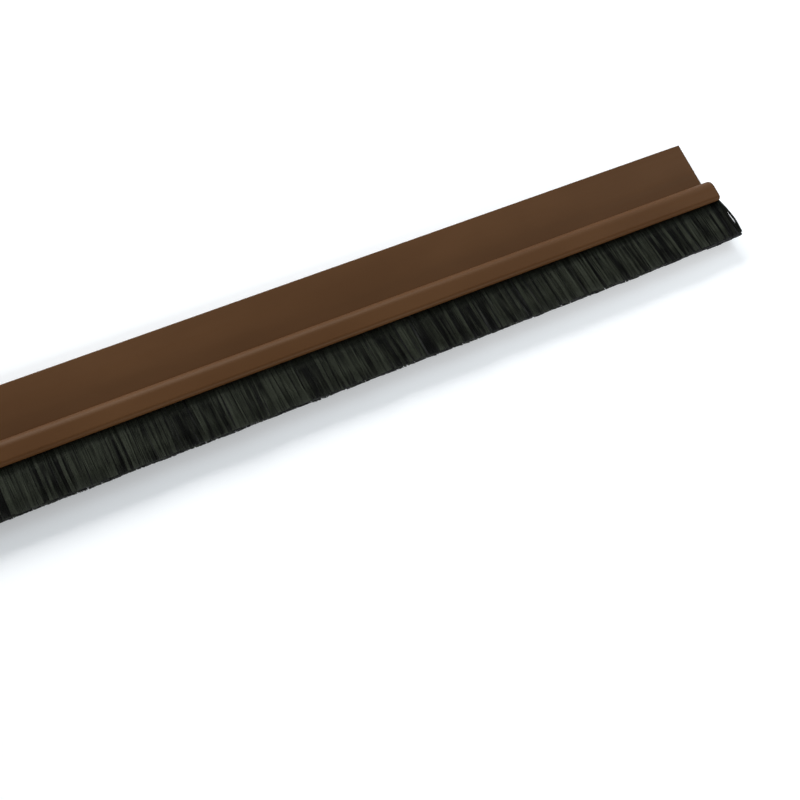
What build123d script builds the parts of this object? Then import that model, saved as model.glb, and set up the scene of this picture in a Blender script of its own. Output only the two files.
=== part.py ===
"""Door bottom brush: a stick-on plastic strip that carries a row of bristles.

The strip lies on its back, as it does before it is fixed. X runs along the strip, Y up the
door (the bristles point to -Y) and Z out from the door. The origin is the middle of the
release liner's outer face: half way along the strip and on the flange's centreline.
All sizes are in millimetres, and angles in degrees.
"""

import os
from math import pi, radians, sin, tan

from build123d import *

# Carrier profile: one extrusion, a flat flange with a brush channel along its lower edge
strip_length = 1000.0
flange_width = 16.3
flange_thickness = 1.2
flange_edge_radius = 0.4
channel_width = 7.5
channel_rise = 4.4
channel_wall = 0.8
channel_relief = 0.2
cavity_crown_radius = 2.25
cavity_corner_radius = 0.6
nose_radius = 1.2
lip_thickness = 0.9
lip_overlap = 0.9
lip_radius = 0.2
inner_corner_radius = 0.5

# Foam tape and its release liner, on the back of the flange
tape_thickness = 0.8
tape_margin = 1.1
liner_thickness = 0.1

# Brush backing: a plastic gutter that holds the roots of the bristles
backing_clearance = 0.1
backing_floor = 1.8

# Bristles: two layers of clumps, rooted in the gutter and trimmed along their tips
bristle_length = 13.2
bristle_clearance = 0.1
bristle_spread = 0.4
bristle_lean = 6.9
clump_pitch = 3.0
clump_drift = 0.6
clump_gap = 0.4
parting_length = 6.9
parting_unevenness = 3.6
tip_unevenness = 0.2
sway = 0.35
sway_wavelength = 61.0

# Angles by which each unevenness turns from one clump to the next, and its start in each layer
drift_turn = 137.5
trim_turn = 292.2
parting_turn = 212.0
upper_start = 0.0
lower_start = 114.6

# Levels, counted out from the door
flange_back = liner_thickness + tape_thickness
flange_front = flange_back + flange_thickness
channel_back = channel_relief
channel_front = flange_front + channel_rise
channel_height = channel_front - channel_back
slot_level = (channel_back + channel_front) / 2

# Lines along the strip, counted up the door from the flange's centreline
flange_edge = flange_width / 2
channel_rear = -flange_width / 2
channel_mouth = channel_rear - channel_width
cavity_rear = channel_rear - channel_wall
cavity_mouth = channel_mouth + lip_thickness
backing_rear = cavity_rear - backing_clearance
gutter_floor = backing_rear - backing_floor
bristle_end = channel_mouth - bristle_length - tip_unevenness

# Sizes that follow from the ones above
crown_radius = cavity_crown_radius + channel_wall
tape_width = flange_width - 2 * tape_margin
cavity_depth = cavity_rear - cavity_mouth
cavity_height = channel_height - 2 * channel_wall
slot_height = cavity_height - 2 * lip_overlap
backing_depth = backing_rear - cavity_mouth
backing_height = cavity_height - 2 * backing_clearance
root_height = slot_height - 2 * bristle_clearance
root_half = root_height / 2
tip_half = root_half + bristle_spread
clump_count = round(strip_length / clump_pitch)


def corners_at(sketch, *places):
    """The corner of the sketch that lies nearest to each of the given places."""
    return [sketch.vertices().sort_by_distance(place)[0] for place in places]


def run_along_strip(section):
    """Extrudes a cross-section to the whole length of the strip."""
    extrude(section, amount=strip_length / 2, both=True)


# Carrier profile: flange and channel, then the cavity and the slot, then the rounded corners
with BuildPart() as carrier_profile:
    with BuildSketch(Plane.YZ) as carrier_section:
        with Locations((channel_rear, flange_back)):
            Rectangle(flange_width, flange_thickness, align=(Align.MIN, Align.MIN))
        with Locations((channel_mouth, channel_back)):
            Rectangle(channel_width, channel_height, align=(Align.MIN, Align.MIN))
        with Locations((cavity_mouth, slot_level)):
            Rectangle(
                cavity_depth,
                cavity_height,
                align=(Align.MIN, Align.CENTER),
                mode=Mode.SUBTRACT,
            )
        with Locations((channel_mouth, slot_level)):
            Rectangle(
                lip_thickness,
                slot_height,
                align=(Align.MIN, Align.CENTER),
                mode=Mode.SUBTRACT,
            )
        cavity_crown = corners_at(carrier_section, (cavity_rear, slot_level + cavity_height / 2))
        fillet(cavity_crown, cavity_crown_radius)
        cavity_corner = corners_at(carrier_section, (cavity_rear, slot_level - cavity_height / 2))
        fillet(cavity_corner, cavity_corner_radius)
        crown = corners_at(carrier_section, (channel_rear, channel_front))
        fillet(crown, crown_radius)
        noses = corners_at(
            carrier_section, (channel_mouth, channel_front), (channel_mouth, channel_back)
        )
        fillet(noses, nose_radius)
        lips = corners_at(
            carrier_section,
            (channel_mouth, slot_level + slot_height / 2),
            (channel_mouth, slot_level - slot_height / 2),
        )
        fillet(lips, lip_radius)
        inner_corner = corners_at(carrier_section, (channel_rear, flange_front))
        fillet(inner_corner, inner_corner_radius)
        edges = corners_at(carrier_section, (flange_edge, flange_front), (flange_edge, flange_back))
        fillet(edges, flange_edge_radius)
    run_along_strip(carrier_section.sketch)
carrier_profile.part.label = "carrier_profile"

# Foam tape, stuck to the back of the flange
with BuildPart() as adhesive_tape:
    with BuildSketch(Plane.YZ) as tape_section:
        with Locations((0, liner_thickness)):
            Rectangle(tape_width, tape_thickness, align=(Align.CENTER, Align.MIN))
    run_along_strip(tape_section.sketch)
adhesive_tape.part.label = "adhesive_tape"

# Release liner, over the tape
with BuildPart() as release_liner:
    with BuildSketch(Plane.YZ) as liner_section:
        Rectangle(tape_width, liner_thickness, align=(Align.CENTER, Align.MIN))
    run_along_strip(liner_section.sketch)
release_liner.part.label = "release_liner"

# Brush backing, slid into the channel from its end and held behind the lips
with BuildPart() as brush_backing:
    with BuildSketch(Plane.YZ) as backing_section:
        with Locations((cavity_mouth, slot_level)):
            Rectangle(backing_depth, backing_height, align=(Align.MIN, Align.CENTER))
        backing_crown = corners_at(backing_section, (backing_rear, slot_level + backing_height / 2))
        fillet(backing_crown, cavity_crown_radius)
        backing_corner = corners_at(backing_section, (backing_rear, slot_level - backing_height / 2))
        fillet(backing_corner, cavity_corner_radius)
        with Locations((cavity_mouth, slot_level)):
            Rectangle(
                gutter_floor - cavity_mouth,
                root_height,
                align=(Align.MIN, Align.CENTER),
                mode=Mode.SUBTRACT,
            )
    run_along_strip(backing_section.sketch)
brush_backing.part.label = "brush_backing"


def uneven(amount, turn, number, start):
    """Unevenness of one clump, up to amount either way, from an angle that turns clump by clump."""
    return amount * sin(radians(turn * number + start))


def clump_start(number, start):
    """Place along the strip where a clump starts, a little uneven except at the strip's ends."""
    at_end = number in (0, clump_count)
    drift = 0 if at_end else uneven(clump_drift, drift_turn, number, start)
    return strip_length * (number / clump_count - 0.5) + drift


def leaned(place, reach):
    """Point that a bristle rooted at place has come to at this reach from the channel's mouth."""
    swing = sway * sin(2 * pi * place / sway_wavelength) * reach / bristle_length
    return place + reach * tan(radians(bristle_lean)) + swing, channel_mouth - reach


def comb_outline(start):
    """Outline of a layer of bristles: roots in the gutter, then clumps with partings between."""
    outline = [(-strip_length / 2, gutter_floor), (-strip_length / 2, channel_mouth)]
    for number in range(clump_count):
        left = clump_start(number, start)
        right = clump_start(number + 1, start)
        reach = bristle_length + uneven(tip_unevenness, trim_turn, number, start)
        outline.append(leaned(left + clump_gap / 2, reach))
        outline.append(leaned(right - clump_gap / 2, reach))
        if number < clump_count - 1:
            parting = parting_length + uneven(parting_unevenness, parting_turn, number, start)
            outline.append(leaned(right, bristle_length - parting))
    return outline + [(strip_length / 2, channel_mouth), (strip_length / 2, gutter_floor)]


# Bristles: an upper and a lower layer with different partings, spread a little at the tips
with BuildPart() as bristles:
    for start, side in ((upper_start, 1), (lower_start, -1)):
        with BuildSketch(Plane.XY.offset(slot_level)):
            with BuildLine():
                Polyline(*comb_outline(start), close=True)
            make_face()
        extrude(amount=side * (root_height + bristle_spread))
    with BuildSketch(Plane.YZ.offset(-strip_length)):
        with BuildLine():
            Polyline(
                (gutter_floor, slot_level + root_half),
                (channel_mouth, slot_level + root_half),
                (bristle_end, slot_level + tip_half),
                (bristle_end, slot_level - tip_half),
                (channel_mouth, slot_level - root_half),
                (gutter_floor, slot_level - root_half),
                close=True,
            )
        make_face()
    extrude(amount=2 * strip_length, mode=Mode.INTERSECT)
bristles.part.label = "bristles"

os.makedirs("parts", exist_ok=True)
for piece in (carrier_profile, adhesive_tape, release_liner, brush_backing, bristles):
    export_step(piece.part, f"parts/{piece.part.label}.step")
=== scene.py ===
"""Looks of a door bottom brush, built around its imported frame.

The strip lies on its back on a pale floor, with its bristles towards the camera. Every length
is in metres. X runs along the strip, Y up the door and Z out from the door, as in the frame.
"""

import logging
import math
from dataclasses import dataclass
from enum import Enum
from typing import Protocol

import bpy
import numpy as np
from mathutils import Matrix, Vector


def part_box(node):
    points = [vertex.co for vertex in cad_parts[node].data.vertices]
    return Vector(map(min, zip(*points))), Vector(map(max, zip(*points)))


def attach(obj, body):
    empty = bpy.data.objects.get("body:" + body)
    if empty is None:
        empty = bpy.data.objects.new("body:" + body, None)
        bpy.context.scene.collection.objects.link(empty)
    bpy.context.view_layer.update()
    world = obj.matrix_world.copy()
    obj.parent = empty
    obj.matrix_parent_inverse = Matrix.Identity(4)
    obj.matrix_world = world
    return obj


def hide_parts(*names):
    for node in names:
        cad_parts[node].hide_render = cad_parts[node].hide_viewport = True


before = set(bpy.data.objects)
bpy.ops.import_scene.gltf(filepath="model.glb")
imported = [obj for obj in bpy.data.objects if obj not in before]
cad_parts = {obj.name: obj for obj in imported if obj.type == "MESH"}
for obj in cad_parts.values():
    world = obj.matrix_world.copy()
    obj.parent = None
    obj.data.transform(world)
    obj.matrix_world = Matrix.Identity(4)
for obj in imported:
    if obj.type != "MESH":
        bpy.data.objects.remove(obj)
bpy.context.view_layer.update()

MM = 0.001
BODY = "root"
TONE = "tone"
MERGE_DISTANCE = 0.001 * MM
FLAT_ANGLE = math.radians(0.5)
LOW_NOISE = 0.3
HIGH_NOISE = 0.7
Colour = tuple[float, float, float]
Triple = tuple[float, float, float]
Range = tuple[float, float]
Socket = bpy.types.NodeSocket

logging.basicConfig(level=logging.INFO, format="%(message)s")
log = logging.getLogger("door_brush")


class Slot(Enum):
    """Names of two material slots, for the profile and the bristles."""

    PROFILE = "profile_plastic"
    BRISTLES = "bristle_fibre"


class Side(Enum):
    """The two faces of the brush: the one seen from the front, and the one towards the door."""

    FRONT = 1
    DOOR = -1


@dataclass
class Shader:
    """A material's node tree around one Principled shader."""

    name: str

    def __post_init__(self) -> None:
        """Makes the material and finds its shader and output."""
        self.material = bpy.data.materials.new(self.name)
        self.material.use_nodes = True
        self.tree = self.material.node_tree
        self.surface = self.tree.nodes["Principled BSDF"]
        self.output = self.tree.nodes["Material Output"]

    def set(self, **values: object) -> None:
        """Sets sockets of the Principled shader.

        Args:
            values: socket names with underscores for spaces, and their values.
        """
        for name, value in values.items():
            socket = self.surface.inputs[name.replace("_", " ")]
            socket.default_value = (*value, 1.0) if isinstance(value, tuple) else value

    def feed(self, **sources: Socket) -> None:
        """Links sockets of the Principled shader to what feeds them.

        Args:
            sources: socket names with underscores for spaces, and the sockets that feed them.
        """
        for name, source in sources.items():
            self.link(source, self.surface.inputs[name.replace("_", " ")])

    def node(self, kind: str, **values: object) -> bpy.types.Node:
        """Adds a node.

        Args:
            kind: the node's type without the leading ShaderNode.
            values: settings of the node itself.

        Returns:
            The new node.
        """
        node = self.tree.nodes.new("ShaderNode" + kind)
        for name, value in values.items():
            setattr(node, name, value)
        return node

    def link(self, source: Socket, target: Socket) -> None:
        """Joins two sockets."""
        self.tree.links.new(source, target)

    def place(self) -> Socket:
        """Adds object coordinates and returns their socket."""
        return self.node("TexCoord").outputs["Object"]

    def noise(self, scale: float, detail: float, stretch: Triple = (1, 1, 1)) -> Socket:
        """Adds a noise on object coordinates.

        Args:
            scale: repeats a metre.
            detail: octaves.
            stretch: factors on the scale along X, Y and Z.

        Returns:
            The noise's value socket.
        """
        mapping = self.node("Mapping")
        mapping.inputs["Scale"].default_value = stretch
        noise = self.node("TexNoise")
        noise.inputs["Scale"].default_value = scale
        noise.inputs["Detail"].default_value = detail
        self.link(self.place(), mapping.inputs["Vector"])
        self.link(mapping.outputs["Vector"], noise.inputs["Vector"])
        return noise.outputs["Fac"]

    def cells(self, scale: float) -> Socket:
        """Adds cells on object coordinates.

        Args:
            scale: cells a metre.

        Returns:
            The socket of the distance from the nearest cell's middle.
        """
        cells = self.node("TexVoronoi")
        cells.inputs["Scale"].default_value = scale
        self.link(self.place(), cells.inputs["Vector"])
        return cells.outputs["Distance"]

    def ramp(self, source: Socket, stops: dict[float, Colour]) -> Socket:
        """Turns a value into a colour.

        Args:
            source: the value's socket.
            stops: a colour for each position from 0 to 1.

        Returns:
            The colour's socket.
        """
        ramp = self.node("ValToRGB")
        band = ramp.color_ramp
        while len(band.elements) < len(stops):
            band.elements.new(0.5)
        for element, (place, colour) in zip(band.elements, sorted(stops.items())):
            element.position = place
            element.color = (*colour, 1.0)
        self.link(source, ramp.inputs["Fac"])
        return ramp.outputs["Color"]

    def spread(self, source: Socket, low: float, high: float) -> Socket:
        """Maps a noise's usual range to another one.

        Args:
            source: the noise's socket.
            low: the result where the noise is low.
            high: the result where the noise is high.

        Returns:
            The result's socket.
        """
        span = self.node("MapRange")
        span.inputs["From Min"].default_value = LOW_NOISE
        span.inputs["From Max"].default_value = HIGH_NOISE
        span.inputs["To Min"].default_value = low
        span.inputs["To Max"].default_value = high
        self.link(source, span.inputs["Value"])
        return span.outputs["Result"]

    def bump(self, source: Socket, depth: float, after: Socket | None = None) -> Socket:
        """Adds a bump.

        Args:
            source: the height's socket, from 0 to 1.
            depth: the height of 1, in metres.
            after: the normal of an earlier bump, if there is one.

        Returns:
            The normal's socket.
        """
        bump = self.node("Bump")
        bump.inputs["Distance"].default_value = depth
        self.link(source, bump.inputs["Height"])
        if after is not None:
            self.link(after, bump.inputs["Normal"])
        return bump.outputs["Normal"]


class Finish(Protocol):
    """A finish that can be given to a piece."""

    def material(self) -> bpy.types.Material:
        """Builds the finish's material and returns it."""


@dataclass(frozen=True)
class ExtrudedPlastic:
    """Satin plastic with fine lines that the die leaves along the strip."""

    name: str
    dark: Colour
    light: Colour
    smooth: float
    rough: float
    shine: float
    gloss: Colour
    clouds: float = 55
    cloud_stretch: Triple = (0.5, 1, 1)
    darkest: float = 0.32
    lightest: float = 0.7
    lines: float = 900
    line_stretch: Triple = (0.006, 1, 1)
    line_depth: float = 0.012 * MM
    grain: float = 2600
    grain_depth: float = 0.006 * MM

    def material(self) -> bpy.types.Material:
        """Builds the material.

        Returns:
            The material, cloudy in colour and with its gloss broken by the lines.
        """
        shader = Shader(self.name)
        cloud = shader.noise(self.clouds, detail=4, stretch=self.cloud_stretch)
        lines = shader.noise(self.lines, detail=2, stretch=self.line_stretch)
        grain = shader.noise(self.grain, detail=2)
        relief = shader.bump(lines, self.line_depth)
        shader.feed(
            Base_Color=shader.ramp(cloud, {self.darkest: self.dark, self.lightest: self.light}),
            Roughness=shader.spread(lines, self.smooth, self.rough),
            Normal=shader.bump(grain, self.grain_depth, relief),
        )
        shader.set(Specular_IOR_Level=self.shine, Specular_Tint=self.gloss)
        return shader.material


@dataclass(frozen=True)
class BristleFibre:
    """Near-black filaments, each a little lighter or darker than the next."""

    name: str
    dark: Colour
    light: Colour
    roughness: float
    shine: float
    grain: float = 5000
    grain_stretch: Triple = (1, 0.1, 1)
    grain_depth: float = 0.01 * MM

    def material(self) -> bpy.types.Material:
        """Builds the material.

        Returns:
            The material, which reads the tone that each filament's points carry.
        """
        shader = Shader(self.name)
        tone = shader.node("Attribute", attribute_name=TONE)
        grain = shader.noise(self.grain, detail=2, stretch=self.grain_stretch)
        shader.feed(
            Base_Color=shader.ramp(tone.outputs["Fac"], {0.0: self.dark, 1.0: self.light}),
            Normal=shader.bump(grain, self.grain_depth),
        )
        shader.set(Roughness=self.roughness, Specular_IOR_Level=self.shine)
        return shader.material


@dataclass(frozen=True)
class PackedFibre:
    """The dense middle of the brush, and the cut filament ends that show in the gutter."""

    name: str
    # Painted shade: the colour of the hollows between the filament ends
    gap: Colour
    fibre: Colour
    ends: float = 4200
    fibre_edge: float = 0.1
    shaded_gap_edge: float = 0.6
    depth: float = 0.1 * MM
    roughness: float = 0.7
    shine: float = 0.2

    def material(self) -> bpy.types.Material:
        """Builds the material.

        Returns:
            The material, where each round end stands out of the gaps between ends, which are
            painted dark as shade.
        """
        shader = Shader(self.name)
        ends = shader.cells(self.ends)
        shader.feed(
            Base_Color=shader.ramp(ends, {self.fibre_edge: self.fibre, self.shaded_gap_edge: self.gap}),
            Normal=shader.bump(ends, -self.depth),
        )
        shader.set(Roughness=self.roughness, Specular_IOR_Level=self.shine)
        return shader.material


@dataclass(frozen=True)
class Foam:
    """Closed-cell foam with small pores."""

    name: str
    # Painted shade: the colour at the middle of each dent
    pore_shade: Colour
    skin: Colour
    pores: float = 3500
    skin_edge: float = 0.45
    depth: float = 0.06 * MM
    roughness: float = 0.85
    shine: float = 0.25

    def material(self) -> bpy.types.Material:
        """Builds the material.

        Returns:
            The material, with a dent at the middle of each cell of the foam, painted darker there
            as shade.
        """
        shader = Shader(self.name)
        pores = shader.cells(self.pores)
        shader.feed(
            Base_Color=shader.ramp(pores, {0.0: self.pore_shade, self.skin_edge: self.skin}),
            Normal=shader.bump(pores, self.depth),
        )
        shader.set(Roughness=self.roughness, Specular_IOR_Level=self.shine)
        return shader.material


@dataclass(frozen=True)
class LinerFilm:
    """Pale coated release film, a little cloudy, with faint ripples across it."""

    name: str
    dark: Colour
    light: Colour
    clouds: float = 300
    smooth: float = 0.3
    rough: float = 0.42
    ripples: float = 60
    ripple_stretch: Triple = (1, 0.2, 1)
    ripple_depth: float = 0.05 * MM
    grain: float = 4000
    grain_depth: float = 0.004 * MM
    shine: float = 0.45

    def material(self) -> bpy.types.Material:
        """Builds the material.

        Returns:
            The material, with a fine grain over its ripples.
        """
        shader = Shader(self.name)
        cloud = shader.noise(self.clouds, detail=5)
        ripples = shader.noise(self.ripples, detail=1, stretch=self.ripple_stretch)
        grain = shader.noise(self.grain, detail=2)
        relief = shader.bump(ripples, self.ripple_depth)
        shader.feed(
            Base_Color=shader.ramp(cloud, {LOW_NOISE: self.dark, HIGH_NOISE: self.light}),
            Roughness=shader.spread(cloud, self.smooth, self.rough),
            Normal=shader.bump(grain, self.grain_depth, relief),
        )
        shader.set(Specular_IOR_Level=self.shine)
        return shader.material


@dataclass(frozen=True)
class PaleFloor:
    """White floor that keeps the object's shadow.

    Seen directly it also glows, by the lift near the object and fully white far from it. The
    distance is counted in ovals: 1 is an oval with the reach as its half sizes.
    """

    name: str
    colour: Colour
    lift: float
    reach: Triple
    near: float
    far: float
    clouds: float = 40
    cloud_shade: float = 0.985
    roughness: float = 0.9

    def material(self) -> bpy.types.Material:
        """Builds the material.

        Returns:
            The material, with its glow added to the plain white surface.
        """
        shader = Shader(self.name)
        cloud = shader.noise(self.clouds, detail=3)
        shaded = tuple(self.cloud_shade * part for part in self.colour)
        shader.feed(Base_Color=shader.ramp(cloud, {LOW_NOISE: shaded, HIGH_NOISE: self.colour}))
        shader.set(Roughness=self.roughness, Specular_IOR_Level=0.0)
        glow = shader.node("Emission")
        shader.link(self.glow_strength(shader), glow.inputs["Strength"])
        both = shader.node("AddShader")
        shader.link(shader.surface.outputs["BSDF"], both.inputs[0])
        shader.link(glow.outputs["Emission"], both.inputs[1])
        shader.link(both.outputs["Shader"], shader.output.inputs["Surface"])
        return shader.material

    def glow_strength(self, shader: Shader) -> Socket:
        """Adds the nodes that make the glow grow away from the object.

        Args:
            shader: the floor's shader.

        Returns:
            The socket of the glow's strength.
        """
        oval = shader.node("VectorMath", operation="DIVIDE")
        oval.inputs[1].default_value = self.reach
        shader.link(shader.place(), oval.inputs[0])
        distance = shader.node("VectorMath", operation="LENGTH")
        shader.link(oval.outputs["Vector"], distance.inputs[0])
        fade = shader.node("MapRange", interpolation_type="SMOOTHSTEP")
        fade.inputs["From Min"].default_value = self.near
        fade.inputs["From Max"].default_value = self.far
        fade.inputs["To Min"].default_value = self.lift
        shader.link(distance.outputs["Value"], fade.inputs["Value"])
        strength = shader.node("Math", operation="MULTIPLY")
        shader.link(plain_sight(shader.tree), strength.inputs[0])
        shader.link(fade.outputs["Result"], strength.inputs[1])
        return strength.outputs["Value"]


def plain_sight(tree: bpy.types.NodeTree) -> Socket:
    """Adds nodes that tell whether a ray is seen directly, in a gloss or through a clear piece.

    Args:
        tree: the node tree to add to.

    Returns:
        The socket that gives 1 for such a ray and 0 for the light that falls on the object.
    """
    nodes, links = tree.nodes, tree.links
    path = nodes.new("ShaderNodeLightPath")
    seen = path.outputs["Is Camera Ray"]
    for kind in ("Is Glossy Ray", "Is Transmission Ray"):
        either = nodes.new("ShaderNodeMath")
        either.operation = "MAXIMUM"
        links.new(seen, either.inputs[0])
        links.new(path.outputs[kind], either.inputs[1])
        seen = either.outputs["Value"]
    return seen


def paint(piece: bpy.types.Object, material: bpy.types.Material) -> None:
    """Gives a whole piece one material."""
    piece.data.materials.clear()
    piece.data.materials.append(material)


def only(piece: bpy.types.Object) -> None:
    """Selects one piece and makes it the active one.

    Args:
        piece: the piece that the next operators work on.
    """
    bpy.ops.object.select_all(action="DESELECT")
    piece.select_set(True)
    bpy.context.view_layer.objects.active = piece


def copy_of_node(node: str, name: str) -> bpy.types.Object:
    """Copies a node of the frame as a new piece with joined-up faces.

    Args:
        node: the frame's node.
        name: the new piece's name.

    Returns:
        The new piece, with its own mesh and no parent, as the only selected object.
    """
    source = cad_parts[node]
    piece = bpy.data.objects.new(name, source.data.copy())
    bpy.context.scene.collection.objects.link(piece)
    only(piece)
    bpy.ops.object.mode_set(mode="EDIT")
    bpy.ops.mesh.select_all(action="SELECT")
    bpy.ops.mesh.remove_doubles(threshold=MERGE_DISTANCE)
    bpy.ops.mesh.dissolve_limited(angle_limit=FLAT_ANGLE)
    bpy.ops.object.mode_set(mode="OBJECT")
    return piece


@dataclass
class Profile:
    """The extruded strip, with smooth curves and the faint burr of its sawn ends."""

    finish: ExtrudedPlastic
    node: str = "carrier_profile"
    burr: float = 0.06 * MM
    crease: float = math.radians(32)

    def build(self) -> bpy.types.Object:
        """Models the strip around its node.

        Returns:
            The piece.
        """
        piece = copy_of_node(self.node, "plastic_strip")
        self.ease_ends(piece)
        bpy.ops.object.shade_smooth_by_angle(angle=self.crease)
        weigh = piece.modifiers.new("weigh_faces", "WEIGHTED_NORMAL")
        weigh.keep_sharp = True
        bpy.ops.object.modifier_apply(modifier=weigh.name)
        paint(piece, self.finish.material())
        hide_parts(self.node)
        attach(piece, BODY)
        return piece

    def ease_ends(self, piece: bpy.types.Object) -> None:
        """Bevels the outline of the two sawn ends.

        Args:
            piece: the strip, as the only selected object.
        """
        points = piece.data.vertices
        bpy.ops.object.mode_set(mode="EDIT")
        bpy.ops.mesh.select_mode(type="EDGE")
        bpy.ops.mesh.select_all(action="DESELECT")
        bpy.ops.object.mode_set(mode="OBJECT")
        for edge in piece.data.edges:
            start, stop = (points[index].co.x for index in edge.vertices)
            edge.select = abs(start - stop) < self.burr
        bpy.ops.object.mode_set(mode="EDIT")
        bpy.ops.mesh.bevel(offset=self.burr, segments=1, affect="EDGES")
        bpy.ops.object.mode_set(mode="OBJECT")


@dataclass(frozen=True)
class Tuft:
    """Stray filaments that leave the channel's open end together.

    The line says how far the tuft's middle lies past the strip's end, at even steps from root to
    tip. The heights are a range, as shares of the bristles' half thickness in the slot, and the
    fan is how far the filaments lie to either side of the line.
    """

    line: tuple[float, ...]
    heights: Range
    fan: float
    count: int


OUTER_TUFT = Tuft(
    line=(-0.5 * MM, 0.35 * MM, 1.3 * MM, 1.8 * MM, 1.5 * MM),
    heights=(0.9, 1.1),
    fan=0.24 * MM,
    count=26,
)
INNER_TUFT = Tuft(
    line=(-0.5 * MM, 0.35 * MM, 0.35 * MM, 0.7 * MM, 1.25 * MM),
    heights=(-0.2, 1.0),
    fan=0.38 * MM,
    count=50,
)


@dataclass
class Brush:
    """The bristles: a dense middle and many single filaments around it.

    The places come from the frame: the mouth of the channel, the level of its slot, the roots
    in the gutter and the trimmed tips. Neighbouring filaments share most of their lean, height
    and tone, so that they read as strands, and a strand differs a little from the next. A field
    that starts with loose is the difference from one filament to the next. A stray tuft's fan
    has the share fan_root of its width at the root, and all of it from the share fan_full of
    its length on.
    """

    fibre: BristleFibre
    packed: PackedFibre
    node: str = "bristles"
    strip_node: str = "carrier_profile"
    seed: int = 11

    # One filament, with its thinnest and thickest as shares of the diameter
    sides: int = 3
    rings: int = 4
    diameter: float = 0.22 * MM
    thinnest: float = 0.8
    thickest: float = 1.15

    # The pieces along the strip, the mean gap between filaments, and how inner layers differ
    segments: int = 10
    gap: float = 0.0885 * MM
    layers: int = 2
    layer_step: float = 0.3
    layer_calm: float = 0.7

    # Widths along the strip of what filaments share, how uneven they are, and how far tips bunch
    patch: float = 16.0 * MM
    tuft: float = 3.4 * MM
    bundle: float = 2.1 * MM
    strand: float = 0.85 * MM
    drift_jitter: float = 0.35
    bunch_jitter: float = 0.38
    bunching: float = 0.35

    # How far the solid spreads to either side from the slot to its tips
    spread: float = 0.4 * MM

    # Heights of roots and tips from the slot's level, as shares of the room there is
    root_height: float = 0.87
    tip_height: float = 0.85
    tuft_height: float = 0.12
    strand_height: float = 0.13
    loose_height: float = 0.05

    # Lean along the strip, which fades at the open end, and bows along the strip and outwards
    lean: float = math.radians(6.9)
    tuft_lean: float = math.radians(2.4)
    strand_lean: float = math.radians(1.4)
    loose_lean: float = math.radians(0.9)
    upright_end: float = 5.0 * MM
    strand_bow: float = 0.2 * MM
    loose_bow: float = 0.1 * MM
    strand_swell: float = 0.1 * MM
    loose_swell: float = 0.1 * MM

    # Ends of the filaments: how deep the roots start and how the tips are trimmed
    root_cover: float = 0.7 * MM
    overreach: float = 0.15 * MM
    tip_cut: float = 0.1 * MM
    tip_wave: float = 0.16 * MM
    end_trim: float = 0.9 * MM
    trimmed_end: float = 45 * MM

    # Tones, from 0, dark, to 1, light
    tone: float = 0.42
    patch_tone: float = 0.08
    tuft_tone: float = 0.15
    bundle_tone: float = 0.28
    strand_tone: float = 0.75
    loose_tone: float = 0.15
    weave: float = 0.55
    # Painted light: how much the root ring of each filament is lightened, to lift the shade that
    # the channel's nose casts on the roots
    root_painted_light: float = 1.1

    # The dense middle, as shares of the solid's reach and thickness outside the channel
    core_reach: float = 0.985
    core_thickness: float = 0.6
    mouth_slack: float = 0.001

    # The stray tufts at the open end
    tufts: tuple[Tuft, ...] = (OUTER_TUFT, INNER_TUFT)
    stray_rings: int = 8
    stray_root: float = 3.4 * MM
    stray_cut: Range = (0.1 * MM, 0.6 * MM)
    stray_lift: float = 0.3 * MM
    stray_tone: float = 0.35
    fan_root: float = 0.3
    fan_full: float = 0.25

    def __post_init__(self) -> None:
        """Reads the brush's places from the frame."""
        strip_low, strip_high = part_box(self.strip_node)
        low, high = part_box(self.node)
        self.start = strip_low[0]
        self.end = strip_high[0]
        self.mouth = strip_low[1]
        self.tips = low[1]
        self.level = (low[2] + high[2]) / 2
        self.length = self.mouth - self.tips
        half = (high[2] - low[2]) / 2
        self.tip_room = half - self.diameter / 2
        self.root_room = half - self.spread - self.diameter / 2
        self.random = np.random.default_rng(self.seed)
        self.material = self.fibre.material()

    def build(self) -> list[bpy.types.Object]:
        """Models all the pieces of the brush.

        Returns:
            The dense middle, the filaments from left to right and the stray tufts.
        """
        core = self.build_core()
        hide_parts(self.node)
        pieces = [core]
        template = self.model_filament(self.rings)
        pitch = (self.end - self.start) / self.segments
        for number in range(self.segments):
            left = self.start + number * pitch
            pieces.append(self.build_segment(template, number, left, left + pitch))
        bpy.data.objects.remove(template)
        pieces.append(self.build_strays())
        for piece in pieces:
            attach(piece, BODY)
        return pieces

    def build_core(self) -> bpy.types.Object:
        """Models the roots in the gutter and a thin dense middle.

        Returns:
            The piece.
        """
        piece = copy_of_node(self.node, "bristle_middle")
        for point in piece.data.vertices:
            reach = (self.mouth - point.co.y) / self.length
            if reach > -self.mouth_slack:
                point.co.y = self.mouth - self.core_reach * reach * self.length
                point.co.z = self.level + (point.co.z - self.level) * self.core_thickness
        paint(piece, self.packed.material())
        return piece

    def model_filament(self, rings: int) -> bpy.types.Object:
        """Models one straight filament of unit radius and length, to be copied.

        Args:
            rings: how many rings of points it has along its length.

        Returns:
            The filament, which stands along Z from its root at the origin.
        """
        step = {"value": (0, 0, 1 / (rings - 1))}
        bpy.ops.object.select_all(action="DESELECT")
        bpy.ops.mesh.primitive_circle_add(vertices=self.sides, radius=1, fill_type="NGON")
        bpy.ops.object.mode_set(mode="EDIT")
        for _ in range(rings - 1):
            bpy.ops.mesh.extrude_region_move(TRANSFORM_OT_translate=step)
        bpy.ops.mesh.select_all(action="SELECT")
        bpy.ops.mesh.normals_make_consistent(inside=False)
        bpy.ops.object.mode_set(mode="OBJECT")
        return bpy.context.active_object

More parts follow.
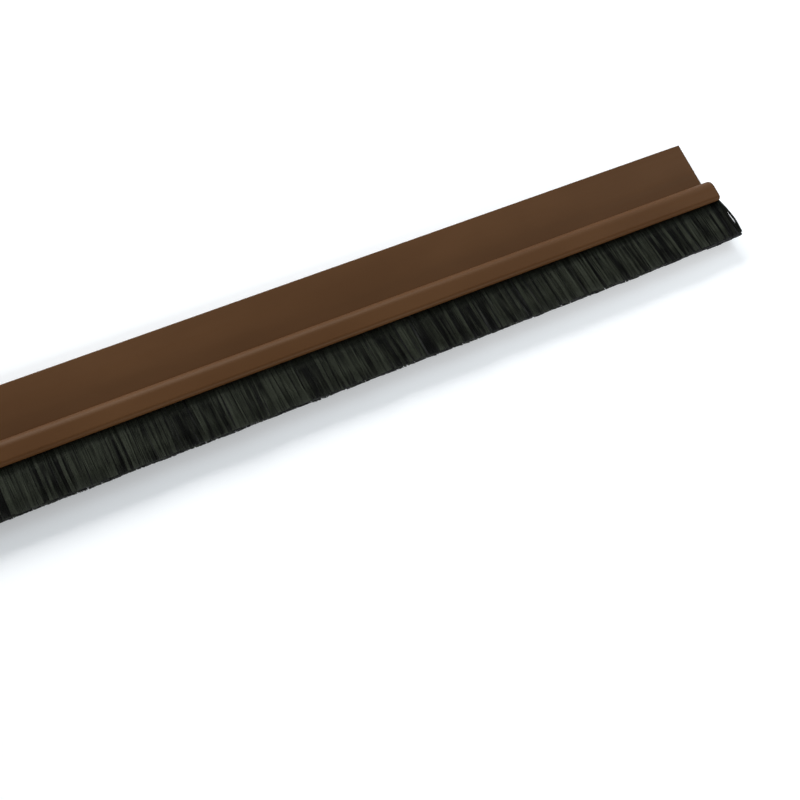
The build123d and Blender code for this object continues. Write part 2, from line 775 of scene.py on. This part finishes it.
    def build_segment(
        self, template: bpy.types.Object, number: int, left: float, right: float
    ) -> bpy.types.Object:
        """Models the filaments along one stretch of the strip.

        Args:
            template: the filament to copy.
            number: the stretch's number, from the left.
            left: where the stretch starts.
            right: where it ends.

        Returns:
            The piece.
        """
        stacks = []
        for side in Side:
            for layer in range(self.layers):
                stacks.append(self.lay_out(side, layer, left, right))
        paths, radii, tones = (np.concatenate(part) for part in zip(*stacks))
        return self.sweep(template, f"bristles_{number + 1:02d}", paths, radii, tones)

    def drift(self, places: np.ndarray, pitch: float) -> np.ndarray:
        """Draws a value that changes from place to place and is steady in between.

        Args:
            places: places along the strip, in rising order.
            pitch: the distance between independent values.

        Returns:
            A value from -1 to 1 for each place.
        """
        jitter = self.drift_jitter
        knots = np.arange(places[0] - pitch, places[-1] + 2 * pitch, pitch)
        knots[1:-1] += self.random.uniform(-jitter, jitter, len(knots) - 2) * pitch
        return np.interp(places, knots, self.random.uniform(-1, 1, len(knots)))

    def bunch(self, places: np.ndarray, pitch: float) -> tuple[np.ndarray, np.ndarray]:
        """Gathers places into bunches of uneven width.

        Args:
            places: places along the strip, in rising order.
            pitch: the mean width of a bunch.

        Returns:
            For each place, how far away the middle of its bunch lies, and its bunch's number.
        """
        jitter = self.bunch_jitter
        edges = np.arange(places[0] - 2 * pitch, places[-1] + 3 * pitch, pitch)
        edges += self.random.uniform(-jitter, jitter, len(edges)) * pitch
        number = np.searchsorted(edges, places) - 1
        middles = (edges[number] + edges[number + 1]) / 2
        return middles - places, number

    def share(self, number: np.ndarray) -> np.ndarray:
        """Draws a value from -1 to 1 for each bunch.

        Args:
            number: the number of each filament's bunch, in rising order.

        Returns:
            For each filament, its bunch's value.
        """
        return self.random.uniform(-1, 1, number[-1] + 1)[number]

    def lay_out(self, side: Side, layer: int, left: float, right: float) -> tuple[np.ndarray, ...]:
        """Lays out the filaments of one layer.

        Args:
            side: the face of the brush that the layer lies on.
            layer: 0 for the outermost layer, then inwards.
            left: where the stretch starts.
            right: where it ends.

        Returns:
            The filaments' middle lines, their radii and their tones at each ring.
        """
        draw = self.random
        count = round((right - left) / self.gap)
        depth = 1 - self.layer_step * layer
        looseness = 1 - self.layer_calm * layer
        root_x = np.sort(draw.uniform(left, right, count))
        to_middle, strand = self.bunch(root_x, self.strand)
        shade = self.share(strand)
        bundle_shade = self.share(self.bunch(root_x, self.bundle)[1])
        uneven = self.strand_height * shade
        uneven += draw.uniform(-self.loose_height, self.loose_height, count)
        rise = uneven + self.tuft_height * self.drift(root_x, self.tuft)
        root_z = np.minimum(depth * (self.root_height + uneven), 1) * self.root_room
        tip_z = np.minimum(depth * (self.tip_height + rise), 1) * self.tip_room
        slope = self.slopes(root_x, strand, looseness)
        reach = self.reaches(root_x, shade)
        tip_x = root_x + reach * slope + looseness * self.bunching * to_middle
        bow_x = looseness * self.strand_bow * self.share(strand)
        bow_x += draw.normal(0, self.loose_bow, count)
        bow_z = looseness * self.strand_swell * self.share(strand)
        bow_z += draw.uniform(-self.loose_swell, self.loose_swell, count)
        paths = self.middle_lines(
            side,
            reach,
            roots=np.stack([root_x, root_z], axis=1),
            tips=np.stack([tip_x, tip_z], axis=1),
            bows=np.stack([bow_x, bow_z], axis=1),
        )
        tones = self.tones(root_x, strand, shade, bundle_shade)
        radii = self.diameter / 2 * draw.uniform(self.thinnest, self.thickest, count)
        return paths, radii, tones

    def slopes(self, root_x: np.ndarray, strand: np.ndarray, looseness: float) -> np.ndarray:
        """Draws how steeply the filaments lean along the strip.

        Args:
            root_x: places of the roots along the strip.
            strand: the number of each filament's strand.
            looseness: how freely the layer's strands lean, from 0 to 1.

        Returns:
            The shift along the strip for each metre of reach, down to none at the open end.
        """
        lean = (
            self.lean
            + self.tuft_lean * self.drift(root_x, self.tuft)
            + looseness * self.strand_lean * self.share(strand)
            + self.random.normal(0, self.loose_lean, len(root_x))
        )
        return np.tan(lean) * np.clip((self.end - root_x) / self.upright_end, 0, 1)

    def reaches(self, root_x: np.ndarray, shade: np.ndarray) -> np.ndarray:
        """Draws how far the filaments reach out of the mouth.

        Args:
            root_x: places of the roots along the strip.
            shade: each strand's own value, from -1 to 1, for each of its filaments.

        Returns:
            The reaches, which become shorter towards the open end.
        """
        trimmed = np.clip(1 - (self.end - root_x) / self.trimmed_end, 0, 1) ** 2
        cut = self.tip_cut * (np.abs(self.random.normal(0, 1, len(root_x))) + 1 + shade)
        cut += self.tip_wave * (1 + self.drift(root_x, self.tuft)) + self.end_trim * trimmed
        return self.length + self.overreach - cut

    def tones(
        self, root_x: np.ndarray, strand: np.ndarray, shade: np.ndarray, bundle_shade: np.ndarray
    ) -> np.ndarray:
        """Draws the tones of the filaments.

        Args:
            root_x: places of the roots along the strip.
            strand: the number of each filament's strand.
            shade: each strand's own value, from -1 to 1, for each of its filaments.
            bundle_shade: the same for each bundle.

        Returns:
            A tone for each ring of each filament, with painted light at the root ring that lifts
            the shade under the channel's nose.
        """
        tones = self.random.normal(self.tone, self.loose_tone, len(root_x))
        tones += self.strand_tone * shade + self.bundle_tone * bundle_shade
        tones += self.tuft_tone * self.drift(root_x, self.tuft)
        tones += self.patch_tone * self.drift(root_x, self.patch)
        woven = np.stack([self.share(strand) for _ in range(self.rings)], axis=1)
        tones = tones[:, None] + self.weave * woven
        # Painted light at the root ring, against the shade under the channel's nose
        tones[:, 0] += self.root_painted_light
        return np.clip(tones, 0, 1)

    def middle_lines(
        self, side: Side, reach: np.ndarray, roots: np.ndarray, tips: np.ndarray, bows: np.ndarray
    ) -> np.ndarray:
        """Works out the middle lines of filaments from their roots and tips.

        Args:
            side: the face of the brush that they lie on.
            reach: how far the tips stand out of the mouth.
            roots: for each root, its place along the strip and its height from the slot's level.
            tips: the same for each tip.
            bows: how far each filament bows along the strip and away from the slot's level.

        Returns:
            One row for each filament, with a point for each ring.
        """
        along = np.linspace(0, 1, self.rings)[None, :]
        arch = 4 * along * (1 - along)
        x, z = (
            root[:, None] + (tip - root)[:, None] * along + bow[:, None] * arch
            for root, tip, bow in zip(roots.T, tips.T, bows.T)
        )
        y = self.mouth + self.root_cover - (reach + self.root_cover)[:, None] * along
        return np.stack([x, y, self.level + side.value * z], axis=2)

    def build_strays(self) -> bpy.types.Object:
        """Models the tufts that splay out of the channel's open right end.

        They leave the channel side by side, part half way and meet again at their tips.

        Returns:
            The piece.
        """
        paths = np.concatenate([self.splay(tuft) for tuft in self.tufts])
        template = self.model_filament(self.stray_rings)
        tones = self.random.uniform(0, self.stray_tone, (len(paths), 1))
        tones = np.repeat(tones, self.stray_rings, axis=1)
        radii = np.full(len(paths), self.diameter / 2)
        piece = self.sweep(template, "stray_bristles", paths, radii, tones)
        bpy.data.objects.remove(template)
        return piece

    def splay(self, tuft: Tuft) -> np.ndarray:
        """Lays out the middle lines of one stray tuft's filaments.

        Args:
            tuft: the stray tuft.

        Returns:
            One row for each filament, with a point for each ring.
        """
        draw = self.random
        count = tuft.count
        along = np.linspace(0, 1, self.stray_rings)[None, :]
        past_end = np.interp(along, np.linspace(0, 1, len(tuft.line)), tuft.line)
        opening = np.clip(along / self.fan_full, self.fan_root, 1)
        fan = draw.uniform(-1, 1, count)[:, None] * tuft.fan * opening
        cut = self.end_trim + draw.uniform(*self.stray_cut, count)[:, None]
        root_z = draw.uniform(*tuft.heights, count)[:, None] * self.root_room
        lift = draw.uniform(0, self.stray_lift, count)[:, None] * along
        root_y = self.mouth + self.stray_root
        y = root_y + (self.tips + cut - root_y) * along
        return np.stack([self.end + past_end + fan, y, self.level + root_z + lift], axis=2)

    def sweep(
        self,
        template: bpy.types.Object,
        name: str,
        paths: np.ndarray,
        radii: np.ndarray,
        tones: np.ndarray,
    ) -> bpy.types.Object:
        """Copies the filament along each middle line into one piece.

        Args:
            template: the filament to copy, with as many rings as a middle line has points.
            name: the piece's name.
            paths: the middle lines.
            radii: the filaments' radii.
            tones: the filaments' tones at each ring, from 0, dark, to 1, light.

        Returns:
            The piece.
        """
        shape = np.array([vertex.co for vertex in template.data.vertices])
        ring = np.rint(shape[:, 2] * (paths.shape[1] - 1)).astype(int)
        section = np.stack([shape[:, 0], np.zeros(len(shape)), shape[:, 1]], axis=1)
        points = paths[:, ring, :] + radii[:, None, None] * section[None]
        faces = [tuple(face.vertices) for face in template.data.polygons]
        corners = np.array([corner for face in faces for corner in face])
        sizes = np.array([len(face) for face in faces])
        starts = np.concatenate([[0], np.cumsum(sizes)[:-1]])
        count = len(paths)
        number = np.arange(count)[:, None]
        mesh = bpy.data.meshes.new(name)
        mesh.vertices.add(count * len(shape))
        mesh.vertices.foreach_set("co", points.ravel())
        mesh.loops.add(count * len(corners))
        mesh.loops.foreach_set("vertex_index", (corners[None] + number * len(shape)).ravel())
        mesh.polygons.add(count * len(faces))
        mesh.polygons.foreach_set("loop_start", (starts[None] + number * len(corners)).ravel())
        mesh.polygons.foreach_set("use_smooth", np.ones(count * len(faces), dtype=bool))
        mesh.update(calc_edges=True)
        tone = mesh.attributes.new(TONE, "FLOAT", "POINT")
        tone.data.foreach_set("value", tones[:, ring].ravel().astype(np.float32))
        mesh.validate()
        piece = bpy.data.objects.new(name, mesh)
        bpy.context.scene.collection.objects.link(piece)
        paint(piece, self.material)
        return piece


@dataclass
class PlainPieces:
    """The pieces whose solids are right as they are, and only need their finish."""

    finishes: dict[str, Finish]

    def dress(self) -> list[bpy.types.Object]:
        """Gives each of these nodes its material.

        Returns:
            The nodes.
        """
        dressed = []
        for node, finish in self.finishes.items():
            paint(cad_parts[node], finish.material())
            dressed.append(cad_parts[node])
        return dressed


@dataclass(frozen=True)
class SoftBox:
    """A rectangular lamp that faces a point of the strip from a distance.

    The bearing is counted from +X towards +Y, and the rise from the floor, both in degrees.
    """

    name: str
    power: float
    width: float
    height: float
    aim: Triple
    bearing: float
    rise: float
    distance: float
    colour: Colour = (1.0, 1.0, 1.0)

    def hang(self) -> None:
        """Adds the lamp to the scene."""
        lamp = bpy.data.lights.new(self.name, "AREA")
        lamp.shape = "RECTANGLE"
        lamp.size = self.width
        lamp.size_y = self.height
        lamp.energy = self.power
        lamp.color = self.colour
        turn, rise = math.radians(self.bearing), math.radians(self.rise)
        away = Vector(
            (math.cos(turn) * math.cos(rise), math.sin(turn) * math.cos(rise), math.sin(rise))
        )
        box = bpy.data.objects.new(self.name, lamp)
        box.location = Vector(self.aim) + self.distance * away
        box.rotation_euler = away.to_track_quat("Z", "Y").to_euler()
        bpy.context.scene.collection.objects.link(box)


@dataclass
class Studio:
    """The floor, the soft lights and the camera at the photograph's angle."""

    floor: PaleFloor
    boxes: tuple[SoftBox, ...]
    floor_side: float = 6.0
    floor_gap: float = 0.05 * MM
    sky: Colour = (0.93, 0.96, 1.0)
    sky_strength: float = 0.2
    image_width: float = 800.0
    sensor: float = 36.0
    focal_pixels: float = 644.6
    nearest: float = 0.01
    camera_place: Triple = (0.35231, -0.07575, 0.18071)
    azimuth: float = math.radians(-36.68)
    elevation: float = math.radians(75.06)
    roll: float = math.radians(14.25)

    def build(self) -> None:
        """Makes the floor, the lights and the camera."""
        self.lay_floor()
        self.light()
        self.place_camera()

    def lay_floor(self) -> None:
        """Lays the floor just under the strip."""
        bpy.ops.object.select_all(action="DESELECT")
        bpy.ops.mesh.primitive_plane_add(size=self.floor_side, location=(0, 0, -self.floor_gap))
        floor = bpy.context.active_object
        floor.name = "floor"
        paint(floor, self.floor.material())

    def light(self) -> None:
        """Sets the sky, which is white where it is seen, and hangs the soft lights."""
        world = bpy.data.worlds.new("pale_sky")
        world.use_nodes = True
        nodes, links = world.node_tree.nodes, world.node_tree.links
        background = nodes["Background"]
        background.inputs["Color"].default_value = (*self.sky, 1.0)
        background.inputs["Strength"].default_value = self.sky_strength
        white = nodes.new("ShaderNodeBackground")
        white.inputs["Color"].default_value = (1.0, 1.0, 1.0, 1.0)
        both = nodes.new("ShaderNodeMixShader")
        links.new(plain_sight(world.node_tree), both.inputs["Fac"])
        links.new(background.outputs["Background"], both.inputs[1])
        links.new(white.outputs["Background"], both.inputs[2])
        links.new(both.outputs["Shader"], nodes["World Output"].inputs["Surface"])
        bpy.context.scene.world = world
        for box in self.boxes:
            box.hang()

    def place_camera(self) -> None:
        """Sets up the camera where the photograph was taken from."""
        lens = bpy.data.cameras.new("camera")
        lens.sensor_width = self.sensor
        lens.lens = self.focal_pixels / self.image_width * self.sensor
        lens.clip_start = self.nearest
        camera = bpy.data.objects.new("camera", lens)
        turn, rise = self.azimuth, self.elevation
        back = Vector(
            (math.sin(turn) * math.cos(rise), -math.cos(turn) * math.cos(rise), math.sin(rise))
        )
        right = Vector((math.cos(turn), math.sin(turn), 0))
        up = back.cross(right)
        level = Matrix((right, up, back)).transposed()
        camera.matrix_world = (
            Matrix.Translation(self.camera_place)
            @ level.to_4x4()
            @ Matrix.Rotation(self.roll, 4, "Z")
        )
        bpy.context.scene.collection.objects.link(camera)
        bpy.context.scene.camera = camera


BROWN_PLASTIC = ExtrudedPlastic(
    "brown_plastic",
    dark=(0.065, 0.0268, 0.0088),
    light=(0.079, 0.0342, 0.0122),
    smooth=0.44,
    rough=0.56,
    shine=0.11,
    gloss=(1.0, 0.88, 0.68),
)
BLACK_PLASTIC = ExtrudedPlastic(
    "black_plastic",
    dark=(0.010, 0.010, 0.010),
    light=(0.018, 0.018, 0.018),
    smooth=0.5,
    rough=0.65,
    shine=0.3,
    gloss=(1.0, 1.0, 1.0),
)
BLACK_FIBRE = BristleFibre(
    "black_fibre",
    dark=(0.0006, 0.0007, 0.0004),
    light=(0.036, 0.0398, 0.0278),
    roughness=0.5,
    shine=0.08,
)
DENSE_FIBRE = PackedFibre("dense_fibre", gap=(0.002, 0.002, 0.002), fibre=(0.009, 0.010, 0.009))
WHITE_FOAM = Foam("white_foam", pore_shade=(0.42, 0.42, 0.4), skin=(0.74, 0.74, 0.71))
PALE_LINER = LinerFilm("pale_liner", dark=(0.70, 0.68, 0.60), light=(0.78, 0.76, 0.69))
WHITE_FLOOR = PaleFloor(
    "white_floor", colour=(0.9, 0.9, 0.9), lift=0.13, reach=(0.6, 0.35, 1.0), near=0.33, far=2.1
)
SOFT_BOXES = (
    SoftBox(
        "low_back_box",
        power=14.5,
        width=1.1,
        height=0.3,
        aim=(0.25, 0, 0),
        bearing=96,
        rise=25,
        distance=1.0,
    ),
    SoftBox(
        "high_right_box",
        power=2.2,
        width=0.7,
        height=0.5,
        aim=(0.5, 0, 0),
        bearing=50,
        rise=48,
        distance=0.8,
        colour=(0.78, 0.91, 1.0),
    ),
    SoftBox(
        "front_box",
        power=5.0,
        width=0.7,
        height=0.4,
        aim=(0.38, 0, 0),
        bearing=278,
        rise=20,
        distance=0.8,
        colour=(0.93, 0.97, 1.0),
    ),
)


def report(pieces: list[bpy.types.Object]) -> None:
    """Logs each piece with its count of faces."""
    for piece in pieces:
        log.info("%s: %d faces", piece.name, len(piece.data.polygons))


def main() -> None:
    """Builds every piece in order, then the studio."""
    report([Profile(BROWN_PLASTIC).build()])
    report(Brush(BLACK_FIBRE, DENSE_FIBRE).build())
    finishes = {
        "brush_backing": BLACK_PLASTIC,
        "adhesive_tape": WHITE_FOAM,
        "release_liner": PALE_LINER,
    }
    report(PlainPieces(finishes).dress())
    Studio(WHITE_FLOOR, SOFT_BOXES).build()
    bpy.context.scene.view_settings.view_transform = "Standard"


if __name__ == "__main__":
    main()
